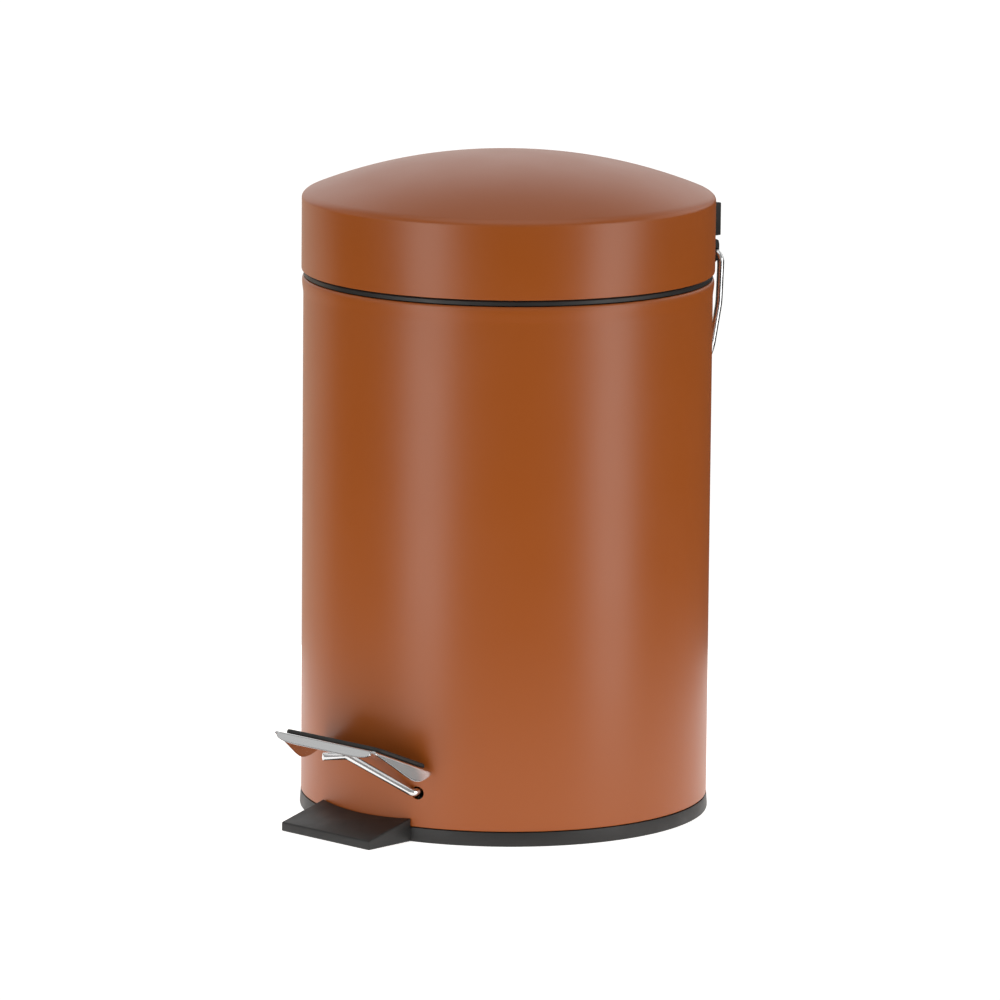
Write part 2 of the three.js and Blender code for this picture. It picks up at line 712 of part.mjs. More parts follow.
function plate(inset, front, low, high, round, bodyGap) {
  const { v, n, origin } = treadFrame();
  const splay = Math.tan(THREE.MathUtils.degToRad(treadSplay));
  const wide = (at) => treadHalf + at * splay - inset;
  const outline = roundedOutline([
    [-wide(front), front],
    [wide(front), front],
    [wide(treadDepth), treadDepth],
    [-wide(treadDepth), treadDepth],
  ], [round, round, 0.5, 0.5], 5);
  const from = origin.clone().addScaledVector(n, low);
  const raw = prism(outline, high - low, axisX, v, from);
  return cut(raw, rodZ2(bodyRadius + bodyGap, 0, treadZ + 40, 0, 0, 96));
}

function flap(side) {
  const { v, n, origin } = treadFrame();
  const lean = THREE.MathUtils.degToRad(flapLean) * side;
  const splay = THREE.MathUtils.degToRad(treadSplay) * side;
  const along = v.clone().multiplyScalar(Math.cos(splay)).addScaledVector(axisX, Math.sin(splay));
  const across = new THREE.Vector3().crossVectors(n, along).normalize();
  const up = n.clone().multiplyScalar(Math.cos(lean)).addScaledVector(across, Math.sin(lean));
  const reach = treadDepth - 2;
  const outline = roundedOutline([
    [0.6, -0.1],
    [0.6, -1.6],
    [reach * 0.64, -flapDepth],
    [reach * 0.74, -flapDepth],
    [reach, -1.4],
    [reach, -0.1],
  ], [0.2, 0.6, 4, 4, 1, 0.2]);
  const outer = origin.clone().addScaledVector(axisX, side * treadHalf);
  const zAxis = new THREE.Vector3().crossVectors(along, up);
  const start = side > 0 ? outer.addScaledVector(zAxis, zAxis.x > 0 ? -treadSheet : 0)
    : outer.addScaledVector(zAxis, zAxis.x > 0 ? 0 : -treadSheet);
  return prism(outline, treadSheet, along, up, start);
}

function pedalTread() {
  const { v, n, origin } = treadFrame();
  const top = plate(0, 0, -treadSheet, 0, 2, treadBodyGap);
  const lipOutline = [
    [-treadHalf + 1.6, -0.1],
    [-treadHalf + 3.4, -lipHeight],
    [treadHalf - 6, -lipHeight],
    [treadHalf - 1.6, -0.1],
  ];
  const lip = prism(lipOutline, treadSheet, axisX, n, origin.clone().addScaledVector(v, treadSheet));
  const room = rodZ2(bodyRadius + treadBodyGap, 0, treadZ + 40, 0, 0, 96);
  return join(top, lip, cut(flap(1), room), cut(flap(-1), room));
}

function pedalPad() {
  return plate(padInset, padFront, touchGap, touchGap + padThick, padRound, treadBodyGap + 0.6);
}

function pivotSleeve() {
  const sleeve = rodX2(sleeveOuter, pivotX - sleeveHalf, pivotX + sleeveHalf, pivotY, pivotZ);
  return cut(sleeve, rodX2(axleRadius + runGap, pivotX - 20, pivotX + 20, pivotY, pivotZ));
}

function earX() {
  return sleeveHalf + touchGap;
}

function pedalAxle() {
  const reach = earX() + earThick + 2.2;
  return rodX2(axleRadius, pivotX - reach, pivotX + reach, pivotY, pivotZ);
}

function axleClip(side) {
  const from = pivotX + side * (earX() + earThick + touchGap);
  const to = from + side * 0.9;
  const washer = rodX2(2.9, Math.min(from, to), Math.max(from, to), pivotY, pivotZ, 20);
  return cut(washer, rodX2(axleRadius + 0.1, pivotX - 30, pivotX + 30, pivotY, pivotZ, 20));
}

function bracketScrews() {
  return [-1, 1].map((side) => [pivotX + side * 4, pivotY + 15.5]);
}

function pivotBracket() {
  const floor = panFloorTop + touchGap;
  const half = earX() + earThick;
  const base = block(pivotX - half, pivotX + half, pivotY - 4, pivotY + 20, floor, floor + earThick);
  const ears = [-1, 1].map((side) => {
    const outline = roundedOutline([
      [pivotY - 4, floor],
      [pivotY + 4, floor],
      [pivotY + 3.4, pivotZ + 3.2],
      [pivotY - 3.4, pivotZ + 3.2],
    ], [0.01, 0.01, 3.2, 3.2]);
    const inner = pivotX + side * earX();
    const outer = pivotX + side * half;
    return prismX(outline, Math.min(inner, outer), Math.max(inner, outer));
  });
  const bore = rodX2(axleRadius + 0.1, pivotX - 30, pivotX + 30, pivotY, pivotZ);
  const pilots = bracketScrews().map(([x, y]) => rodZ2(screwRadius + runGap, 0, 20, x, y, 16));
  return cut(join(base, ...ears), bore, ...pilots);
}

function bracketScrew(x, y) {
  const seat = panFloorTop + touchGap + earThick + touchGap;
  const head = rodZ2(screwHeadRadius, seat, seat + screwHeadHigh, x, y, 20);
  const shank = rodZ2(screwRadius, panFloorLow - 0.2, seat + 0.5, x, y, 16);
  const top = seat + screwHeadHigh;
  const cross = join(
    block(x - 1.6, x + 1.6, y - 0.35, y + 0.35, top - 0.6, top + 1),
    block(x - 0.35, x + 0.35, y - 1.6, y + 1.6, top - 0.6, top + 1),
  );
  return cut(join(head, shank), cross);
}

// ---------- assembly ----------
addPart('body_shell', bodyShell(), paint);
addPart('base_pan', basePan(), blackPlastic);
addPart('inner_bucket', innerBucket(), blackPlastic);
addPart('bucket_bail', bucketBail(), chrome);
addPart('lid_shell', lidShell(), paint);
addPart('lid_hinge_bracket', lidHingeBracket(), blackPlastic);
addPart('body_hinge_bracket', bodyHingeBracket(), blackPlastic);
addPart('hinge_pin', hingePin(), zinc);
addPart('carry_handle', carryHandle(), chrome);
addPart('push_rod', pushRod(), zinc);
addPart('rod_clip', rodClip(), zinc);
addPart('rod_foot', rodFoot(), blackPlastic);
addPart('rod_guide_lower', rodGuide(guideLowZ), blackPlastic);
addPart('rod_guide_upper', rodGuide(guideHighZ), blackPlastic);
addPart('pedal_lever', pedalLever(), chrome);
addPart('pedal_tread', pedalTread(), chrome);
addPart('pedal_pad', pedalPad(), blackRubber);
addPart('pivot_sleeve', pivotSleeve(), zinc);
addPart('pedal_axle', pedalAxle(), zinc);
addPart('pivot_bracket', pivotBracket(), zinc);
const sides = [['left', -1], ['right', 1]];
for (const [word, side] of sides) {
  addPart(`lid_bracket_screw_${word}`, wallScrew(side * lidScrewX, lidScrewZ, lidInner, hoodBack - 7.6), zinc);
  addPart(`body_bracket_screw_${word}`, wallScrew(side * bodyScrewX, bodyScrewZ, bodyInner, bodyRadius + 2.9), zinc);
  addPart(`axle_clip_${word}`, axleClip(side), zinc);
  const [x, y] = bracketScrews()[side < 0 ? 0 : 1];
  addPart(`pivot_bracket_screw_${word}`, bracketScrew(x, y), zinc);
}

export default group;
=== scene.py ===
import json
import math

import bmesh
import bpy
from mathutils import Matrix, Vector


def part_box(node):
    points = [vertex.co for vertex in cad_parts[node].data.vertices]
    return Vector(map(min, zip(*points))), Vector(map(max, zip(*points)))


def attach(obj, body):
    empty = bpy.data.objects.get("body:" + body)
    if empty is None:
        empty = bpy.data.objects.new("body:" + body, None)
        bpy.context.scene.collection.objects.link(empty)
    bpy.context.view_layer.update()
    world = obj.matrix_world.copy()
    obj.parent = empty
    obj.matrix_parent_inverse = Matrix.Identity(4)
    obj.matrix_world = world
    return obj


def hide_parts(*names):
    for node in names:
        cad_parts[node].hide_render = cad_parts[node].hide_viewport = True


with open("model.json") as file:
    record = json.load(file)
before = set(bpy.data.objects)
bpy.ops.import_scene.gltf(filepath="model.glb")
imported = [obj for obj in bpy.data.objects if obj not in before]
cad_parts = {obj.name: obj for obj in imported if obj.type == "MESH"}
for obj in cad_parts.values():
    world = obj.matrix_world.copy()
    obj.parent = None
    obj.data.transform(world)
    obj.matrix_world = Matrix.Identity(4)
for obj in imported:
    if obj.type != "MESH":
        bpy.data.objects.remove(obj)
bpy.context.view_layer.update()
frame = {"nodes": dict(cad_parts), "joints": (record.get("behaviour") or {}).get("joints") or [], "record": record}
print("frame loaded:", len(frame["nodes"]), "nodes")

mm = 0.001
axisX = Vector((1, 0, 0))
axisY = Vector((0, 1, 0))
axisZ = Vector((0, 0, 1))


# ---- small tools ----
def hexColour(code):
    channels = [int(code[i : i + 2], 16) / 255 for i in (1, 3, 5)]
    linear = [c / 12.92 if c <= 0.04045 else ((c + 0.055) / 1.055) ** 2.4 for c in channels]
    return (*linear, 1.0)


def addNode(tree, kind, settings=None, links=None, **values):
    # settings go on the node, values on its inputs by name, links join an input to another socket
    node = tree.nodes.new(kind)
    for key, value in (settings or {}).items():
        setattr(node, key, value)
    for key, value in values.items():
        node.inputs[key.replace("_", " ")].default_value = value
    for key, socket in (links or {}).items():
        tree.links.new(socket, node.inputs[key])
    return node


def newMaterial(name):
    material = bpy.data.materials.new(name)
    material.use_nodes = True
    tree = material.node_tree
    tree.nodes.clear()
    shader = addNode(tree, "ShaderNodeBsdfPrincipled")
    addNode(tree, "ShaderNodeOutputMaterial", links={"Surface": shader.outputs["BSDF"]})
    coords = addNode(tree, "ShaderNodeTexCoord").outputs["Object"]
    return material, tree, shader, coords


def perMetre(sizeMm):
    # noise scale whose features are about this many millimetres apart
    return 1 / (sizeMm * mm)


def wovenRoughness(tree, shader, coords, sizeMm, low, high, detail=3.0):
    scale = perMetre(sizeMm)
    noise = addNode(tree, "ShaderNodeTexNoise", links={"Vector": coords}, Scale=scale, Detail=detail)
    spread = addNode(
        tree,
        "ShaderNodeMapRange",
        links={"Value": noise.outputs["Fac"]},
        From_Min=0.3,
        From_Max=0.7,
        To_Min=low,
        To_Max=high,
    )
    tree.links.new(spread.outputs["Result"], shader.inputs["Roughness"])
    return noise


def bumpFrom(tree, shader, height, depthMm, strength=1.0):
    bump = addNode(tree, "ShaderNodeBump", links={"Height": height}, Strength=strength, Distance=depthMm * mm)
    tree.links.new(bump.outputs["Normal"], shader.inputs["Normal"])
    return bump


# ---- finishes ----
def makePowderCoat():
    # satin copper-brown powder coat on sheet steel: an even brown under a soft white sheen,
    # with the faint orange peel that the cured powder leaves
    material, tree, shader, coords = newMaterial("satinCopperPowderCoat")
    drift = addNode(tree, "ShaderNodeTexNoise", links={"Vector": coords}, Scale=perMetre(60), Detail=2.0)
    tint = addNode(tree, "ShaderNodeMix", {"data_type": "RGBA"}, {"Factor": drift.outputs["Fac"]})
    tint.inputs["A"].default_value = hexColour("#9a4b0c")
    tint.inputs["B"].default_value = hexColour("#9d4e10")
    tree.links.new(tint.outputs["Result"], shader.inputs["Base Color"])
    shader.inputs["IOR"].default_value = 1.5
    shader.inputs["Metallic"].default_value = 0.0
    wovenRoughness(tree, shader, coords, 25, 0.35, 0.38)
    peel = addNode(tree, "ShaderNodeTexNoise", links={"Vector": coords}, Scale=perMetre(1.1), Detail=2.0)
    bumpFrom(tree, shader, peel.outputs["Fac"], 0.02, 0.5)
    return material


def makeBlackPolypropylene():
    # injection-moulded polypropylene, spark-eroded fine grain: dull black with a wide grey sheen
    material, tree, shader, coords = newMaterial("mouldedBlackPolypropylene")
    shader.inputs["IOR"].default_value = 1.49
    wear = addNode(tree, "ShaderNodeTexNoise", links={"Vector": coords}, Scale=perMetre(18), Detail=4.0)
    tint = addNode(tree, "ShaderNodeMix", {"data_type": "RGBA"}, {"Factor": wear.outputs["Fac"]})
    tint.inputs["A"].default_value = hexColour("#171615")
    tint.inputs["B"].default_value = hexColour("#1c1b1a")
    tree.links.new(tint.outputs["Result"], shader.inputs["Base Color"])
    wovenRoughness(tree, shader, coords, 9, 0.44, 0.54)
    grain = addNode(tree, "ShaderNodeTexNoise", links={"Vector": coords}, Scale=perMetre(0.45), Detail=3.0)
    bumpFrom(tree, shader, grain.outputs["Fac"], 0.03, 0.5)
    return material


def makeBlackRubber():
    # moulded nitrile rubber: flat black, finely pebbled so that a shoe grips
    material, tree, shader, coords = newMaterial("mouldedBlackRubber")
    shader.inputs["IOR"].default_value = 1.52
    dust = addNode(tree, "ShaderNodeTexNoise", links={"Vector": coords}, Scale=perMetre(7), Detail=5.0)
    tint = addNode(tree, "ShaderNodeMix", {"data_type": "RGBA"}, {"Factor": dust.outputs["Fac"]})
    tint.inputs["A"].default_value = hexColour("#1b1a19")
    tint.inputs["B"].default_value = hexColour("#262423")
    tree.links.new(tint.outputs["Result"], shader.inputs["Base Color"])
    wovenRoughness(tree, shader, coords, 5, 0.58, 0.7)
    pebble = addNode(tree, "ShaderNodeTexVoronoi", links={"Vector": coords}, Scale=perMetre(0.8))
    bumpFrom(tree, shader, pebble.outputs["Distance"], 0.05, 0.5)
    return material


def makeChrome():
    # chrome plate over drawn wire and pressed sheet: mirror-like, softened by fine polishing marks
    material, tree, shader, coords = newMaterial("polishedChromePlate")
    shader.inputs["Base Color"].default_value = hexColour("#d9dadb")
    shader.inputs["Metallic"].default_value = 1.0
    wovenRoughness(tree, shader, coords, 3, 0.13, 0.2)
    scratches = addNode(tree, "ShaderNodeTexNoise", links={"Vector": coords}, Scale=perMetre(0.9), Detail=5.0)
    bumpFrom(tree, shader, scratches.outputs["Fac"], 0.006, 0.35)
    return material


def makeZinc():
    # bright zinc on small steel parts: grey, cloudy, half dull
    material, tree, shader, coords = newMaterial("zincPlatedSteel")
    shader.inputs["Metallic"].default_value = 1.0
    cloud = addNode(tree, "ShaderNodeTexNoise", links={"Vector": coords}, Scale=perMetre(4), Detail=4.0)
    tint = addNode(tree, "ShaderNodeMix", {"data_type": "RGBA"}, {"Factor": cloud.outputs["Fac"]})
    tint.inputs["A"].default_value = hexColour("#a4a7a8")
    tint.inputs["B"].default_value = hexColour("#c0c2c2")
    tree.links.new(tint.outputs["Result"], shader.inputs["Base Color"])
    wovenRoughness(tree, shader, coords, 2, 0.28, 0.42)
    return material


powderCoat = makePowderCoat()
blackPlastic = makeBlackPolypropylene()
blackRubber = makeBlackRubber()
chrome = makeChrome()
zinc = makeZinc()


# ---- mesh tools ----
def meshObject(name, vertices, faces):
    mesh = bpy.data.meshes.new(name)
    mesh.from_pydata([Vector(v) * mm for v in vertices], [], faces)
    mesh.validate()
    mesh.update()
    piece = bpy.data.objects.new(name, mesh)
    bpy.context.scene.collection.objects.link(piece)
    return piece


def faceOut(piece):
    # a closed mesh built from listed faces gets its faces turned outwards
    work = bmesh.new()
    work.from_mesh(piece.data)
    bmesh.ops.remove_doubles(work, verts=work.verts, dist=0.5e-6)
    bmesh.ops.recalc_face_normals(work, faces=work.faces)
    work.to_mesh(piece.data)
    work.free()
    return piece


def applied(piece):
    # the evaluated shape becomes the plain mesh, and the modifiers go
    graph = bpy.context.evaluated_depsgraph_get()
    shaped = piece.evaluated_get(graph)
    mesh = bpy.data.meshes.new_from_object(shaped, preserve_all_data_layers=True, depsgraph=graph)
    piece.modifiers.clear()
    old = piece.data
    piece.data = mesh
    mesh.name = piece.name
    bpy.data.meshes.remove(old)
    return piece


def roundedPath(points, radii, steps=5):
    # every inner corner becomes an arc; points are 2D or 3D
    path = [Vector(points[0])]
    for i in range(1, len(points) - 1):
        corner = Vector(points[i])
        before = Vector(points[i - 1]) - corner
        after = Vector(points[i + 1]) - corner
        radius = radii[i - 1] if isinstance(radii, (list, tuple)) else radii
        if radius <= 0:
            path.append(corner)
            continue
        angle = before.angle(after)
        if angle > math.pi - 1e-4:
            path.append(corner)
            continue
        reach = min(radius / math.tan(angle / 2), before.length * 0.49, after.length * 0.49)
        radius = reach * math.tan(angle / 2)
        before.normalize()
        after.normalize()
        centre = corner + (before + after).normalized() * (radius / math.sin(angle / 2))
        start = corner + before * reach - centre
        end = corner + after * reach - centre
        sweep = start.angle(end)
        for k in range(steps + 1):
            t = k / steps
            a = math.sin((1 - t) * sweep) / math.sin(sweep)
            b = math.sin(t * sweep) / math.sin(sweep)
            path.append(centre + start * a + end * b)
    path.append(Vector(points[-1]))
    return path


def roundedLoop(points, radii, steps=5):
    points = list(points)
    radii = list(radii) if isinstance(radii, (list, tuple)) else [radii] * len(points)
    path = roundedPath([points[-1], *points, points[0]], radii, steps)
    return path[1:-1]


def turnedPiece(name, profile, sides):
    # profile is a loop of (radius, height), or runs from axis to axis
    vertices = []
    rings = []
    for r, z in profile:
        if r < 1e-6:
            rings.append([len(vertices)])
            vertices.append((0, 0, z))
            continue
        rings.append(list(range(len(vertices), len(vertices) + sides)))
        for k in range(sides):
            a = 2 * math.pi * k / sides
            vertices.append((r * math.cos(a), r * math.sin(a), z))
    count = len(rings)
    onAxis = len(rings[0]) == 1 and len(rings[-1]) == 1
    faces = []
    for i in range(count - 1 if onAxis else count):
        low = rings[i]
        high = rings[(i + 1) % count]
        for k in range(sides):
            n = (k + 1) % sides
            if len(low) == 1 and len(high) == 1:
                continue
            if len(low) == 1:
                faces.append((low[0], high[n], high[k]))
            elif len(high) == 1:
                faces.append((low[k], low[n], high[0]))
            else:
                faces.append((low[k], low[n], high[n], high[k]))
    return faceOut(meshObject(name, vertices, faces))


def prismPiece(name, outline, origin, alongA, alongB, depth):
    # a flat outline in the a-b plane, pushed along their cross product
    origin = Vector(origin)
    out = alongA.cross(alongB)
    count = len(outline)
    vertices = [origin + alongA * p[0] + alongB * p[1] for p in outline]
    vertices += [v + out * depth for v in vertices]
    faces = [tuple(reversed(range(count))), tuple(range(count, 2 * count))]
    faces += [(k, (k + 1) % count, (k + 1) % count + count, k + count) for k in range(count)]
    return faceOut(meshObject(name, vertices, faces))


def blockPiece(name, low, high):
    outline = [(low[0], low[1]), (high[0], low[1]), (high[0], high[1]), (low[0], high[1])]
    return prismPiece(name, outline, (0, 0, low[2]), axisX, axisY, high[2] - low[2])


def rodPiece(name, radius, start, end, sides=48):
    start = Vector(start)
    along = (Vector(end) - start).normalized()
    across = along.orthogonal().normalized()
    outline = [
        (radius * math.cos(2 * math.pi * k / sides), radius * math.sin(2 * math.pi * k / sides))
        for k in range(sides)
    ]
    return prismPiece(name, outline, start, across, along.cross(across), (Vector(end) - start).length)


def combined(piece, tools, operation):
    for tool in tools:
        modifier = piece.modifiers.new("combine", "BOOLEAN")
        modifier.operation = operation
        modifier.solver = "EXACT"
        modifier.object = tool
    applied(piece)
    for tool in tools:
        bpy.data.objects.remove(tool)
    return piece


def softened(piece, widthMm, angleDeg=32, segments=3):
    # small rounds on the sharp edges, as tooling leaves
    work = bmesh.new()
    work.from_mesh(piece.data)
    bmesh.ops.remove_doubles(work, verts=work.verts, dist=1e-6)
    bmesh.ops.dissolve_limit(
        work, angle_limit=math.radians(0.6), verts=work.verts, edges=work.edges, delimit={"NORMAL"}
    )
    work.to_mesh(piece.data)
    work.free()
    modifier = piece.modifiers.new("softened", "BEVEL")
    modifier.width = widthMm * mm
    modifier.segments = segments
    modifier.limit_method = "ANGLE"
    modifier.angle_limit = math.radians(angleDeg)
    modifier.miter_outer = "MITER_ARC"
    modifier.harden_normals = False
    return applied(piece)


def shadeByAngle(piece, degrees):
    mesh = piece.data
    for polygon in mesh.polygons:
        polygon.use_smooth = True
    work = bmesh.new()
    work.from_mesh(mesh)
    limit = math.radians(degrees)
    for edge in work.edges:
        edge.smooth = len(edge.link_faces) == 2 and edge.calc_face_angle(0) < limit
    work.to_mesh(mesh)
    work.free()
    return piece


def finished(piece, material, body, nodes, degrees=35):
    shadeByAngle(piece, degrees)
    piece.data.materials.clear()
    piece.data.materials.append(material)
    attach(piece, body)
    if nodes:
        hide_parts(*nodes)
    return piece


def copyOfNode(node, name):
    mesh = frame["nodes"][node].data.copy()
    mesh.name = name
    piece = bpy.data.objects.new(name, mesh)
    bpy.context.scene.collection.objects.link(piece)
    return piece


# ---- bent wire as a node tree ----
def makeWireTree():
    tree = bpy.data.node_groups.new("bentWire", "GeometryNodeTree")
    face = tree.interface
    face.new_socket("Geometry", in_out="INPUT", socket_type="NodeSocketGeometry")
    for name, kind, value in (
        ("Wire Radius", "NodeSocketFloat", 0.0015),
        ("Sides", "NodeSocketInt", 24),
        ("Corner Steps", "NodeSocketInt", 12),
        ("Finish", "NodeSocketMaterial", None),
    ):
        socket = face.new_socket(name, in_out="INPUT", socket_type=kind)
        if value is not None:
            socket.default_value = value
    face.new_socket("Geometry", in_out="OUTPUT", socket_type="NodeSocketGeometry")
    given = addNode(tree, "NodeGroupInput")
    curve = addNode(tree, "GeometryNodeMeshToCurve", links={"Mesh": given.outputs["Geometry"]})
    bend = addNode(tree, "GeometryNodeInputNamedAttribute", {"data_type": "FLOAT"}, Name="bend")
    fillet = addNode(
        tree,
        "GeometryNodeFilletCurve",
        {"mode": "POLY"},
        {
            "Curve": curve.outputs["Curve"],
            "Count": given.outputs["Corner Steps"],
            "Radius": bend.outputs["Attribute"],
        },
        Limit_Radius=True,
    )
    section = addNode(
        tree,
        "GeometryNodeCurvePrimitiveCircle",
        {"mode": "RADIUS"},
        {"Resolution": given.outputs["Sides"], "Radius": given.outputs["Wire Radius"]},
    )
    wire = addNode(
        tree,
        "GeometryNodeCurveToMesh",
        links={"Curve": fillet.outputs["Curve"], "Profile Curve": section.outputs["Curve"]},
        Fill_Caps=True,
    )
    real = addNode(tree, "GeometryNodeRealizeInstances", links={"Geometry": wire.outputs["Mesh"]})
    painted = addNode(
        tree,
        "GeometryNodeSetMaterial",
        links={"Geometry": real.outputs["Geometry"], "Material": given.outputs["Finish"]},
    )
    addNode(tree, "NodeGroupOutput", links={"Geometry": painted.outputs["Geometry"]})
    return tree


wireTree = makeWireTree()


def setInput(modifier, name, value):
    for item in modifier.node_group.interface.items_tree:
        if item.item_type == "SOCKET" and item.in_out == "INPUT" and item.name == name:
            modifier[item.identifier] = value


def wirePiece(name, points, bends, radiusMm, material, sides=24, steps=12, endRound=0.35):
    # points in mm; bends has one radius for each inner point
    mesh = bpy.data.meshes.new(name)
    mesh.from_pydata([Vector(p) * mm for p in points], [(i, i + 1) for i in range(len(points) - 1)], [])
    attribute = mesh.attributes.new("bend", "FLOAT", "POINT")
    for i, value in enumerate([0, *bends, 0]):
        attribute.data[i].value = value * mm
    piece = bpy.data.objects.new(name, mesh)
    bpy.context.scene.collection.objects.link(piece)
    modifier = piece.modifiers.new("bentWire", "NODES")
    modifier.node_group = wireTree
    setInput(modifier, "Wire Radius", radiusMm * mm)
    setInput(modifier, "Sides", sides)
    setInput(modifier, "Corner Steps", steps)
    setInput(modifier, "Finish", material)
    applied(piece)
    faceOut(piece)
    if endRound:
        rim = piece.modifiers.new("endRound", "BEVEL")
        rim.width = endRound * mm
        rim.segments = 3
        rim.limit_method = "ANGLE"
        rim.angle_limit = math.radians(60)
        applied(piece)
    return piece


# ---- sizes read from the frame, in mm ----
def span(node):
    low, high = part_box(node)
    return low / mm, high / mm


lidLow, lidHigh = span("lid_shell")
bodyLow, bodyHigh = span("body_shell")
rimHigh = span("inner_bucket")[1].z
joints = {joint["name"]: joint for joint in frame["joints"]}
# cuts through the rear wall run between these distances behind the centre
wallCut = {"lidFrom": 60, "from": 70, "to": 92}
screwHoleRadius = 1.7
handleAxis = Vector(joints["carry_handle_swing"]["pos_m"]) / mm
pedalAxis = Vector(joints["pedal_hinge"]["pos_m"]) / mm
bailAxis = Vector(joints["bucket_bail_swing"]["pos_m"]) / mm

# ---- body ----
body = {
    "sides": 224,
    "radius": 84.2,
    "wall": 0.8,
    "beadOut": 0.55,
    "beadHeight": 2.6,
    "hemRound": 0.25,
    "holeRadius": 2.7,
    "holeZ": 20.35,
    "notchHalf": 2.7,
    "screwX": 17,
    "screwZ": 204,
}


def wallScrewHoles(x, z, start):
    return [
        rodPiece("screwHole", screwHoleRadius, (s * x, start, z), (s * x, wallCut["to"], z))
        for s in (-1, 1)
    ]


def makeBody():
    inner = body["radius"] - body["wall"]
    outer = body["radius"]
    profile = [(inner, bodyLow.z), (outer - body["hemRound"], bodyLow.z)]
    profile += [(outer, bodyLow.z + body["hemRound"]), (outer, bodyHigh.z - 3 * body["beadHeight"])]
    # the rolled bead swells slowly out of the wall and turns in at the top
    for k in range(1, 15):
        t = k / 14
        reach = body["beadOut"] * (0.5 - 0.5 * math.cos(math.pi * t))
        profile.append((outer + reach, bodyHigh.z - body["beadHeight"] * (3 - 2.3 * t)))
    for k in range(1, 7):
        a = math.pi / 2 * k / 6
        across = outer + body["beadOut"] - 0.7 + 0.7 * math.cos(a)
        profile.append((across, bodyHigh.z - body["beadHeight"] * 0.7 * (1 - math.sin(a))))
    profile.append((inner, bodyHigh.z))
    piece = turnedPiece("bodyShell", profile, body["sides"])
    holeFront = (pedalAxis.x, -95, body["holeZ"])
    holeBack = (pedalAxis.x, -70, body["holeZ"])
    hole = rodPiece("hole", body["holeRadius"], holeFront, holeBack, 64)
    low = span("lid_hinge_bracket")[0]
    notch = blockPiece(
        "notch",
        (-body["notchHalf"], wallCut["from"], low.z - 1.2),
        (body["notchHalf"], wallCut["to"], bodyHigh.z + 4),
    )
    screws = wallScrewHoles(body["screwX"], body["screwZ"], wallCut["from"])
    combined(piece, [hole, notch, *screws], "DIFFERENCE")
    return finished(piece, powderCoat, "bin", ["body_shell"], 40)


makeBody()
print("body made")

# ---- lid ----
lid = {
    "sides": 224,
    "radius": 85.0,
    "wall": 0.8,
    "side": 32.0,
    "shoulder": 2.4,
    "rise": 15.9,
    "power": 2.15,
    "rings": 34,
    "notchHalf": 2.1,
    "notchHeight": 11,
    "screwX": 19,
    "screwZ": 238.5,
}


def makeLid():
    radius = lid["radius"]
    edge = radius - 1.7
    shoulderZ = lidLow.z + lid["side"]

    def domeHeight(r):
        return shoulderZ + lid["rise"] * (1 - (min(r / edge, 1)) ** lid["power"])

    outer = [(radius - 0.55, lidLow.z), (radius - 0.12, lidLow.z + 0.12), (radius, lidLow.z + 0.55)]
    start = Vector((radius, shoulderZ - lid["shoulder"]))
    # shoulder: a smooth turn from the straight side into the dome
    joinR = edge - 1.6
    slope = (domeHeight(joinR + 0.05) - domeHeight(joinR - 0.05)) / 0.1
    finish = Vector((joinR, domeHeight(joinR)))
    knee = Vector((radius, finish.y + slope * (radius - joinR)))
    for k in range(13):
        t = k / 12
        p = start * (1 - t) ** 2 + knee * 2 * t * (1 - t) + finish * t * t
        outer.append((p.x, p.y))
    for k in range(1, lid["rings"]):
        r = joinR * (1 - k / lid["rings"])
        outer.append((r, domeHeight(r)))
    outer.append((0, domeHeight(0)))
    inner = []
    for r, z in outer[3:]:
        shrink = lid["wall"] if r > joinR else lid["wall"] * 0.4 * min(r / 20, 1)
        inner.append((max(r - shrink, 0), z - (lid["wall"] if r <= edge else lid["wall"] * 0.8)))
    hem = [(radius - 1.5, lidLow.z + 0.3), (radius - 1.5, lidLow.z + 4), (radius - lid["wall"], lidLow.z + 5)]
    profile = list(reversed(outer)) + hem + inner
    piece = turnedPiece("lidShell", profile, lid["sides"])
    notch = blockPiece(
        "notch",
        (-lid["notchHalf"], wallCut["from"], lidLow.z - 4),
        (lid["notchHalf"], wallCut["to"], lidLow.z + lid["notchHeight"]),
    )
    screws = wallScrewHoles(lid["screwX"], lid["screwZ"], wallCut["lidFrom"])
    combined(piece, [notch, *screws], "DIFFERENCE")
    return finished(piece, powderCoat, "lid", ["lid_shell"], 40)


makeLid()
print("lid made")

# ---- base with its front tongue ----
base = {
    "sides": 224,
    "ringHeight": 5.9,
    "flare": 0.5,
    "upstand": 14,
    "floorLow": 1.5,
    "floorTop": 3.6,
    "centre": 30,
    "tongueHalf": 25.2,
    "tongueFront": 105.0,
    "tongueLow": 3.8,
    "tongueHigh": 9.8,
    "edgeRound": 1.4,
}


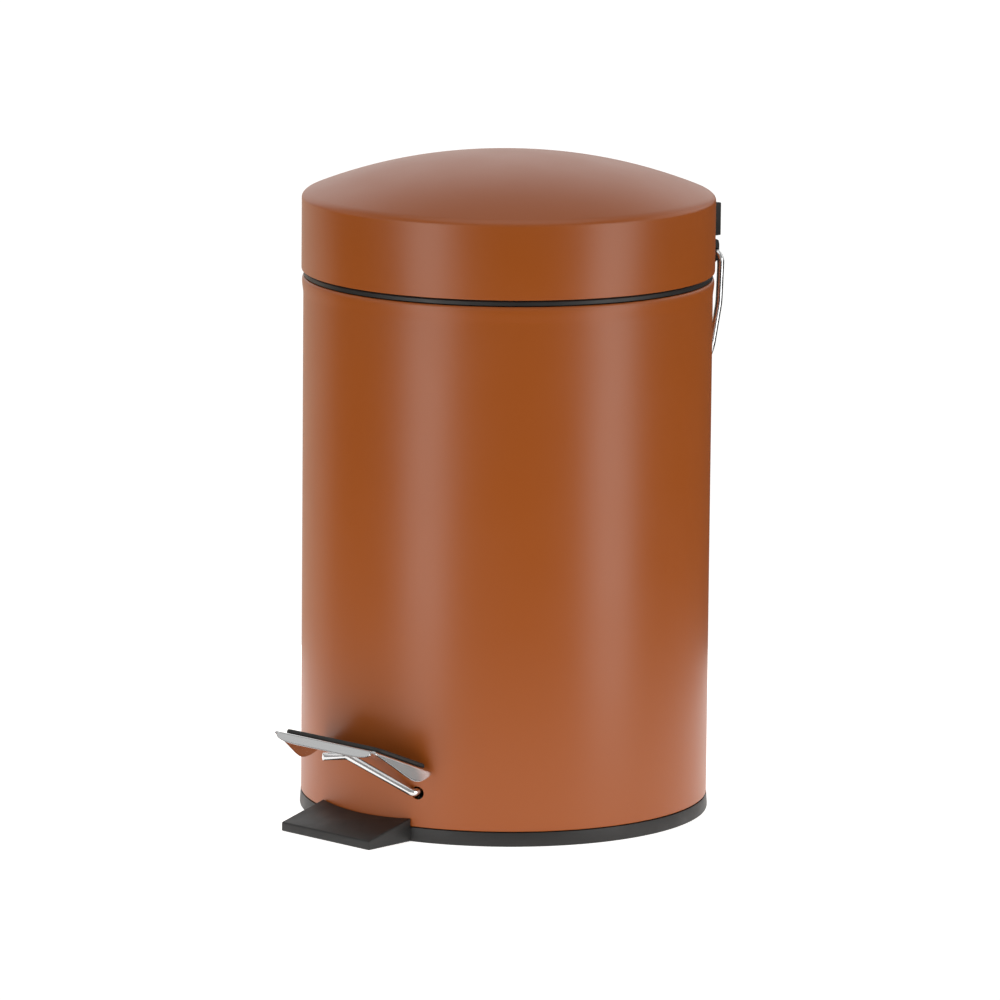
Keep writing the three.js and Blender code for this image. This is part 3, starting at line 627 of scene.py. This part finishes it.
def makeBase():
    outer = body["radius"]
    upOuter = outer - body["wall"] - 0.3
    upInner = upOuter - 1.2
    profile = [
        (0, 0),
        (base["centre"], 0),
        (base["centre"] + 1, base["floorLow"]),
        (upOuter - 3.5, base["floorLow"]),
        (upOuter - 2.5, 0),
        (outer + base["flare"] - 0.5, 0),
        (outer + base["flare"] - 0.1, 0.2),
        (outer + base["flare"], 0.7),
        (outer + base["flare"] * 0.35, base["ringHeight"] - 0.5),
        (outer + base["flare"] * 0.1, base["ringHeight"] - 0.1),
        (outer - 0.3, base["ringHeight"]),
        (upOuter, base["ringHeight"]),
        (upOuter, base["upstand"] - 0.3),
        (upOuter - 0.3, base["upstand"]),
        (upInner + 0.3, base["upstand"]),
        (upInner, base["upstand"] - 0.3),
        (upInner, base["floorTop"]),
        (0, base["floorTop"]),
    ]
    ring = turnedPiece("basePan", profile, base["sides"])
    half = base["tongueHalf"]
    front = base["tongueFront"]
    bodyAt = math.sqrt(outer**2 - half**2)
    slope = (base["tongueHigh"] - base["tongueLow"]) / (front - bodyAt)
    back = 73
    backHigh = base["tongueLow"] + slope * (front - back)
    side = [(-front, 0), (-back, 0), (-back, backHigh), (-front, base["tongueLow"])]
    wedge = prismPiece("tongue", side, (-half, 0, 0), axisY, axisZ, 2 * half)
    # the moulding follows the body above the ring and stops at the ring's inner edge below it
    room = turnedPiece(
        "room",
        [
            (0, -1),
            (upOuter - 2.9, -1),
            (upOuter - 2.9, base["ringHeight"] + 0.001),
            (outer + 0.3, base["ringHeight"] + 0.001),
            (outer + 0.3, 30),
            (0, 30),
        ],
        base["sides"],
    )
    combined(wedge, [room], "DIFFERENCE")
    softened(wedge, base["edgeRound"], 35, 4)
    combined(ring, [wedge], "UNION")
    screwY = pedalAxis.y + 15.5
    screws = [
        rodPiece("screwHole", screwHoleRadius, (pedalAxis.x + s * 4, screwY, -1), (pedalAxis.x + s * 4, screwY, 8))
        for s in (-1, 1)
    ]
    combined(ring, screws, "DIFFERENCE")
    return finished(ring, blackPlastic, "bin", ["base_pan"], 38)


makeBase()
print("base made")

# ---- inner bucket ----
bucket = {
    "sides": 192,
    "topRadius": 75.6,
    "bottomRadius": 69,
    "wall": 1.2,
    "low": 39,
    "rimThick": 2.1,
    "rimInset": 0.1,
    "slotHalf": 7,
    "slotDepth": 16,
    "earX": 79.6,
    "earThick": 2.4,
    "earHeight": 5,
}


def makeBucket():
    rimOuter = body["radius"] - bucket["rimInset"]
    rimLow = rimHighFlat() - bucket["rimThick"]
    low = bucket["low"]
    outerLow = roundedPath(
        [(0, low), (bucket["bottomRadius"], low), (bucket["topRadius"], rimLow)], [5.0], 8
    )
    innerLow = roundedPath(
        [
            (0, low + bucket["wall"]),
            (bucket["bottomRadius"] - bucket["wall"], low + bucket["wall"]),
            (bucket["topRadius"] - bucket["wall"], rimHighFlat() - 1.2),
        ],
        [4.0],
        8,
    )
    profile = [(p.x, p.y) for p in outerLow]
    profile += [
        (rimOuter - 0.2, rimLow),
        (rimOuter, rimLow + 0.25),
        (rimOuter, rimHighFlat() - 0.5),
        (rimOuter - 0.45, rimHighFlat()),
        (bucket["topRadius"] - bucket["wall"] + 1.0, rimHighFlat()),
        (bucket["topRadius"] - bucket["wall"] + 0.3, rimHighFlat() - 0.4),
    ]
    profile += [(p.x, p.y) for p in reversed(innerLow)]
    piece = turnedPiece("innerBucket", profile, bucket["sides"])
    ears = []
    for s in (-1, 1):
        x = s * bucket["earX"]
        earTop = rimHighFlat() + bucket["earHeight"]
        outline = roundedLoop(
            [(-4, rimLow + 0.5), (4, rimLow + 0.5), (3.4, earTop), (-3.4, earTop)],
            [0, 0, 3, 3],
            8,
        )
        start = (min(x, x + s * bucket["earThick"]), 0, 0)
        ears.append(prismPiece("ear", [(p.x, p.y) for p in outline], start, axisY, axisZ, bucket["earThick"]))
    combined(piece, ears, "UNION")
    slot = blockPiece(
        "slot",
        (-bucket["slotHalf"], 60, rimHighFlat() - bucket["slotDepth"]),
        (bucket["slotHalf"], 90, rimHighFlat() + 4),
    )
    bore = rodPiece("bore", 1.6, (-90, 0, bailAxis.z), (90, 0, bailAxis.z), 32)
    combined(piece, [slot, bore], "DIFFERENCE")
    return finished(piece, blackPlastic, "bin", ["inner_bucket"], 38)


def rimHighFlat():
    return rimHigh - bucket["earHeight"]


makeBucket()
print("bucket made")

# ---- bucket bail ----
bail = {"wire": 1.25, "reach": 70, "earX": 79.6, "earThick": 2.4}


def makeBail():
    end = bail["earX"] + bail["earThick"] - 0.1
    wide = bail["reach"] + 3
    points = [(-end, 0, bailAxis.z), (-wide, 0, bailAxis.z)]
    bends = [3]
    for k in range(17):
        a = math.pi + math.pi * (k + 0.5) / 17
        points.append((wide * math.cos(a), bail["reach"] * math.sin(a) - 1, bailAxis.z))
        bends.append(60)
    points += [(wide, 0, bailAxis.z), (end, 0, bailAxis.z)]
    bends.append(3)
    piece = wirePiece("bucketBail", points, bends, bail["wire"], chrome, 20, 4)
    return finished(piece, chrome, "bail", ["bucket_bail"], 40)


makeBail()

# ---- rear hinge: cover on the lid, bracket on the body ----
for node, name, bodyName, width in (
    ("lid_hinge_bracket", "lidHingeCover", "lid", 0.35),
    ("body_hinge_bracket", "bodyHingeBracket", "bin", 0.35),
):
    finished(softened(copyOfNode(node, name), width, 38, 3), blackPlastic, bodyName, [node], 40)
print("hinge pieces made")

# ---- carry handle ----
handle = {"wire": 1.5, "half": 29.9, "drop": 55, "end": 21.8}


def makeHandle():
    low = handleAxis.z - handle["drop"]
    half = [
        (handle["end"], handleAxis.z),
        (handle["half"], handleAxis.z),
        (handle["half"] - 0.9, handleAxis.z - 21),
        (handle["half"] - 4.9, handleAxis.z - 41),
        (handle["half"] - 12, low + 1.6),
    ]
    right = [(x, handleAxis.y, z) for x, z in half]
    left = [(-x, handleAxis.y, z) for x, z in reversed(half)]
    bends = [4, 30, 22, 14, 14, 22, 30, 4]
    piece = wirePiece("carryHandle", right + left, bends, handle["wire"], chrome, 28, 14)
    return finished(piece, chrome, "handle", ["carry_handle"], 50)


makeHandle()
print("handle made")

# ---- pedal ----
tread = {
    "x": 3.2,
    "y": -109,
    "z": 42.7,
    "tilt": 22.2,
    "half": 28.9,
    "splay": 5,
    "depth": 33,
    "sheet": 1.0,
    "bodyGap": 1.9,
    "lip": 4.0,
    "lean": 14,
    "bend": 1.0,
    "columns": 40,
    "rows": 22,
}
tilt = math.radians(tread["tilt"])
treadBack = Vector((0, math.cos(tilt), -math.sin(tilt)))
treadUp = axisX.cross(treadBack)
treadOrigin = Vector((tread["x"], tread["y"], tread["z"]))


def treadPoint(x, v, n):
    return treadOrigin + axisX * x + treadBack * v + treadUp * n


def halfAt(v):
    return tread["half"] + v * math.tan(math.radians(tread["splay"]))


def backAt(u, gap, inset=0.0):
    # how far back the plate runs at the share u of its half width, before it meets the round body
    v = tread["depth"]
    for _ in range(12):
        x = tread["x"] + u * (halfAt(v) - inset)
        y = -math.sqrt((body["radius"] + gap) ** 2 - x * x)
        v = min((y - tread["y"]) / math.cos(tilt), tread["depth"])
    return v


def flapDepth(v, reach):
    # shallow at the front, deepest about two thirds back, rounded up to the rear corner
    knots = [(0.0, 1.3), (0.1, 1.9), (0.35, 3.9), (0.58, 5.9), (0.68, 6.5), (0.75, 6.55)]
    knots += [(0.83, 5.8), (0.92, 4.1), (1.0, 1.5)]
    t = max(0.0, min(1.0, v / reach))
    for (a, da), (b, db) in zip(knots, knots[1:]):
        if t <= b:
            return da + (db - da) * (t - a) / (b - a)
    return knots[-1][1]


def makeTread():
    bend = tread["bend"]
    lean = math.radians(tread["lean"])
    arcs = 6
    flapSteps = 7
    columns = tread["columns"]
    vertices = []
    faces = []
    rows = []
    topStart = flapSteps + arcs
    for j in range(tread["rows"] + 1):
        t = j / tread["rows"]
        row = []
        section = []
        for k in range(columns + 1):
            u = -1 + 2 * k / columns
            v = bend + (backAt(u, tread["bodyGap"]) - bend) * t
            section.append((u, v))
        sideRows = {}
        for s, (u, v) in ((-1, section[0]), (1, section[-1])):
            half = halfAt(v)
            edge = []
            for a in range(arcs + 1):
                angle = (math.pi / 2 - lean) * a / arcs
                edge.append((half - bend + bend * math.sin(angle), -bend + bend * math.cos(angle)))
            x0, n0 = edge[-1]
            reach = backAt(u, tread["bodyGap"])
            length = max(flapDepth(v - bend, reach - bend) - bend, 0.05)
            # the flap's rear edge turns forward with its depth, so it stays off the body
            for a in range(1, flapSteps + 1):
                down = length * a / flapSteps
                edge.append((x0 + down * math.sin(lean), n0 - down * math.cos(lean)))
            sideRows[s] = [(s * x, v, n) for x, n in edge]
        for x, v, n in reversed(sideRows[-1][1:]):
            row.append((x, v, n))
        for u, v in section:
            row.append((u * (halfAt(v) - bend), v, 0.0))
        for x, v, n in sideRows[1][1:]:
            row.append((x, v, n))
        rows.append(row)
    width = len(rows[0])
    for row in rows:
        for x, v, n in row:
            vertices.append(treadPoint(x, v, n))
    for j in range(tread["rows"]):
        for k in range(width - 1):
            a = j * width + k
            faces.append((a, a + 1, a + width + 1, a + width))
    # the front lip hangs from the first row, and stops short of the flaps
    lipColumns = [topStart + k for k in range(columns + 1) if abs(-1 + 2 * k / columns) <= 0.951]
    lipRows = []
    for a in range(1, arcs + 1):
        angle = math.pi / 2 * a / arcs
        lipRows.append((bend - bend * math.sin(angle), -bend + bend * math.cos(angle)))
    for a in range(1, 5):
        lipRows.append((0.0, a / 4))
    previous = lipColumns
    for index, entry in enumerate(lipRows):
        current = []
        for column in lipColumns:
            k = column - topStart
            u = -1 + 2 * k / columns
            x = u * (halfAt(bend) - bend)
            taper = max(1 - (abs(u) / 0.975) ** 7, 0.0) ** 0.6
            depth = bend + (tread["lip"] - bend) * max(taper, 0.05)
            if index < arcs:
                v, n = entry
            else:
                v = 0.0
                n = -bend - (depth - bend) * entry[1]
            current.append(len(vertices))
            vertices.append(treadPoint(x, v, n))
        for a in range(len(lipColumns) - 1):
            faces.append((previous[a + 1], previous[a], current[a], current[a + 1]))
        previous = current
    piece = meshObject("pedalTread", vertices, faces)
    wall = piece.modifiers.new("wall", "SOLIDIFY")
    wall.thickness = tread["sheet"] * 0.9 * mm
    wall.offset = -1
    wall.use_even_offset = True
    edge = piece.modifiers.new("edge", "BEVEL")
    edge.width = 0.18 * mm
    edge.segments = 2
    edge.limit_method = "ANGLE"
    edge.angle_limit = math.radians(60)
    applied(piece)
    return finished(piece, chrome, "pedal", ["pedal_tread"], 45)


makeTread()
finished(softened(copyOfNode("pedal_pad", "pedalPad"), 0.6, 40, 4), blackRubber, "pedal", ["pedal_pad"], 50)

lever = {"wire": 1.6, "rearZ": 8, "rodX": 4, "rodY": 79.8, "sleeve": 2.6, "gap": 0.3}


def makeLever():
    wireZ = pedalAxis.z + lever["sleeve"] + lever["gap"] + lever["wire"]
    slope = (lever["rearZ"] - wireZ) / (lever["rodY"] - pedalAxis.y)
    frontY = -math.sqrt(body["radius"] ** 2 - pedalAxis.x**2)

    def lineZ(y):
        return wireZ + slope * (y - pedalAxis.y)

    points = [
        (tread["x"] - 4.6, tread["y"] + 3.9, tread["z"] - 7.9),
        (tread["x"] + 0.9, tread["y"] + 12.6, tread["z"] - 8),
        (pedalAxis.x, frontY - 2.6, lineZ(frontY) - 0.5),
        (pedalAxis.x, frontY + 2, lineZ(frontY + 2)),
        (pedalAxis.x, pedalAxis.y + 14, lineZ(pedalAxis.y + 14)),
        (lever["rodX"] + 6.4, lever["rodY"] - 22, lineZ(lever["rodY"] - 22)),
        (lever["rodX"] + 6.4, lever["rodY"], lever["rearZ"]),
        (lever["rodX"] - 4.6, lever["rodY"], lever["rearZ"]),
    ]
    piece = wirePiece("pedalLever", points, [4, 2.6, 6, 14, 14, 5], lever["wire"], chrome, 28, 14)
    return finished(piece, chrome, "pedal", ["pedal_lever"], 50)


makeLever()


def makePushRod():
    low, high = span("push_rod")
    hookZ = high.z - 1.4
    x, y = lever["rodX"], lever["rodY"]
    points = [(x, y, low.z), (x, y, hookZ), (-5.4, y, hookZ)]
    piece = wirePiece("pushRod", points, [1.9], 1.4, zinc, 24, 10)
    return finished(piece, zinc, "rod", ["push_rod"], 50)


makePushRod()
print("pedal and lever made")

# ---- small parts: the frame's own shapes with their edges eased ----
bodyOf = {node: name for name, members in frame["record"]["behaviour"]["bodies"].items() for node in members}
smallParts = {
    "hinge_pin": (zinc, 0.25),
    "rod_clip": (zinc, 0.1),
    "rod_foot": (blackPlastic, 0.35),
    "rod_guide_lower": (blackPlastic, 0.3),
    "rod_guide_upper": (blackPlastic, 0.3),
    "pivot_sleeve": (zinc, 0.2),
    "pedal_axle": (zinc, 0.25),
    "pivot_bracket": (zinc, 0.2),
    "axle_clip_left": (zinc, 0.1),
    "axle_clip_right": (zinc, 0.1),
    "lid_bracket_screw_left": (zinc, 0.2),
    "lid_bracket_screw_right": (zinc, 0.2),
    "body_bracket_screw_left": (zinc, 0.2),
    "body_bracket_screw_right": (zinc, 0.2),
    "pivot_bracket_screw_left": (zinc, 0.2),
    "pivot_bracket_screw_right": (zinc, 0.2),
}
for node, (material, width) in smallParts.items():
    words = node.split("_")
    name = words[0] + "".join(word.capitalize() for word in words[1:])
    finished(softened(copyOfNode(node, name), width, 50, 2), material, bodyOf[node], [node], 40)
print("small parts made")

# ---- floor, light and camera ----
studio = {
    "floorHalf": 0.34,
    "floorGlow": 0.78,
    "seenSky": 1.15,
    "highSky": 0.38,
    "lowSky": 0.05,
    "cameraAzimuth": 43.6,
    "cameraElevation": 10.167,
    "cameraFar": 3.201,
    "lens": 279.0,
    "roll": 0.536,
    "aim": (-2.6, -7.22),
    "aimHeight": 135.0,
}


def makeFloor():
    half = studio["floorHalf"] / mm
    rim = [(half * math.cos(math.pi * k / 48), half * math.sin(math.pi * k / 48), 0) for k in range(96)]
    piece = meshObject("floor", rim, [tuple(range(96))])
    # opal acrylic light table: white, and faintly lit from below
    material, tree, shader, coords = newMaterial("opalAcrylicTable")
    mottle = addNode(tree, "ShaderNodeTexNoise", links={"Vector": coords}, Scale=3.0, Detail=2.0)
    tint = addNode(tree, "ShaderNodeMix", {"data_type": "RGBA"}, {"Factor": mottle.outputs["Fac"]})
    tint.inputs["A"].default_value = hexColour("#f3f2f0")
    tint.inputs["B"].default_value = hexColour("#f6f5f4")
    tree.links.new(tint.outputs["Result"], shader.inputs["Base Color"])
    shader.inputs["Roughness"].default_value = 0.9
    shader.inputs["Specular IOR Level"].default_value = 0.1
    shader.inputs["Emission Color"].default_value = hexColour("#fffefc")
    shader.inputs["Emission Strength"].default_value = studio["floorGlow"]
    piece.data.materials.append(material)


def makeSky():
    world = bpy.data.worlds.new("studioSky")
    world.use_nodes = True
    tree = world.node_tree
    tree.nodes.clear()
    seen = addNode(tree, "ShaderNodeBackground", Color=hexColour("#f7f6f5"), Strength=studio["seenSky"])
    # pale walls and ceiling above the table, darkness under it
    place = addNode(tree, "ShaderNodeTexCoord")
    axes = addNode(tree, "ShaderNodeSeparateXYZ", links={"Vector": place.outputs["Generated"]})
    ramp = addNode(
        tree,
        "ShaderNodeMapRange",
        links={"Value": axes.outputs["Z"]},
        From_Min=-0.04,
        From_Max=0.08,
        To_Min=studio["lowSky"],
        To_Max=studio["highSky"],
    )
    strength = {"Strength": ramp.outputs["Result"]}
    lit = addNode(tree, "ShaderNodeBackground", links=strength, Color=hexColour("#fbfaf8"))
    path = addNode(tree, "ShaderNodeLightPath")
    choice = {0: path.outputs["Is Camera Ray"], 1: lit.outputs[0], 2: seen.outputs[0]}
    both = addNode(tree, "ShaderNodeMixShader", links=choice)
    addNode(tree, "ShaderNodeOutputWorld", links={"Surface": both.outputs[0]})
    bpy.context.scene.world = world


def softLight(name, azimuth, elevation, far, width, height, watts, aim=(0, 0, 0.13), colour="#ffffff"):
    a = math.radians(azimuth)
    e = math.radians(elevation)
    data = bpy.data.lights.new(name, "AREA")
    data.shape = "RECTANGLE"
    data.size = width
    data.size_y = height
    data.energy = watts
    data.color = hexColour(colour)[:3]
    lamp = bpy.data.objects.new(name, data)
    bpy.context.scene.collection.objects.link(lamp)
    aim = Vector(aim)
    back = Vector((math.sin(a) * math.cos(e), -math.cos(a) * math.cos(e), math.sin(e)))
    lamp.location = aim + back * far
    lamp.rotation_mode = "QUATERNION"
    lamp.rotation_quaternion = back.to_track_quat("Z", "Y")
    lamp.visible_camera = False
    return lamp


def makeLights():
    softLight("frontBox", -1, -4, 1.9, 0.8, 2.2, 19)
    softLight("sideBox", 103, -4, 1.9, 0.85, 2.2, 20)
    softLight("topBox", 43, 88, 1.9, 1.8, 1.8, 8)
    softLight("backWall", 255, -10, 3.0, 3.8, 1.4, 13, colour="#fff1de")
    softLight("rearSky", 235, 22, 3.0, 3.6, 2.0, 17)
    softLight("rightSky", 165, 26, 3.0, 3.0, 1.8, 12)
    softLight("leftSky", 308, 26, 3.0, 3.0, 1.8, 5)


def makeCamera():
    a = math.radians(studio["cameraAzimuth"])
    e = math.radians(studio["cameraElevation"])
    r = math.radians(studio["roll"])
    back = Vector((math.sin(a) * math.cos(e), -math.cos(a) * math.cos(e), math.sin(e)))
    right = Vector((math.cos(a), math.sin(a), 0))
    up = back.cross(right)
    across = right * math.cos(r) + up * math.sin(r)
    rise = up * math.cos(r) - right * math.sin(r)
    middle = Vector((0, 0, studio["aimHeight"] * mm))
    place = middle + back * studio["cameraFar"]
    target = middle + across * studio["aim"][0] * mm + rise * studio["aim"][1] * mm
    look = (place - target).normalized()
    across = (across - look * across.dot(look)).normalized()
    rise = look.cross(across)
    data = bpy.data.cameras.new("camera")
    data.sensor_width = 36
    data.lens = studio["lens"]
    data.clip_start = 0.05
    data.clip_end = 100
    camera = bpy.data.objects.new("camera", data)
    bpy.context.scene.collection.objects.link(camera)
    turn = Matrix((across, rise, look)).transposed().to_4x4()
    camera.matrix_world = Matrix.Translation(place) @ turn
    bpy.context.scene.camera = camera


makeFloor()
makeSky()
makeLights()
makeCamera()
bpy.context.scene.view_settings.view_transform = "Standard"
bpy.context.scene.view_settings.look = "None"
print("studio made")
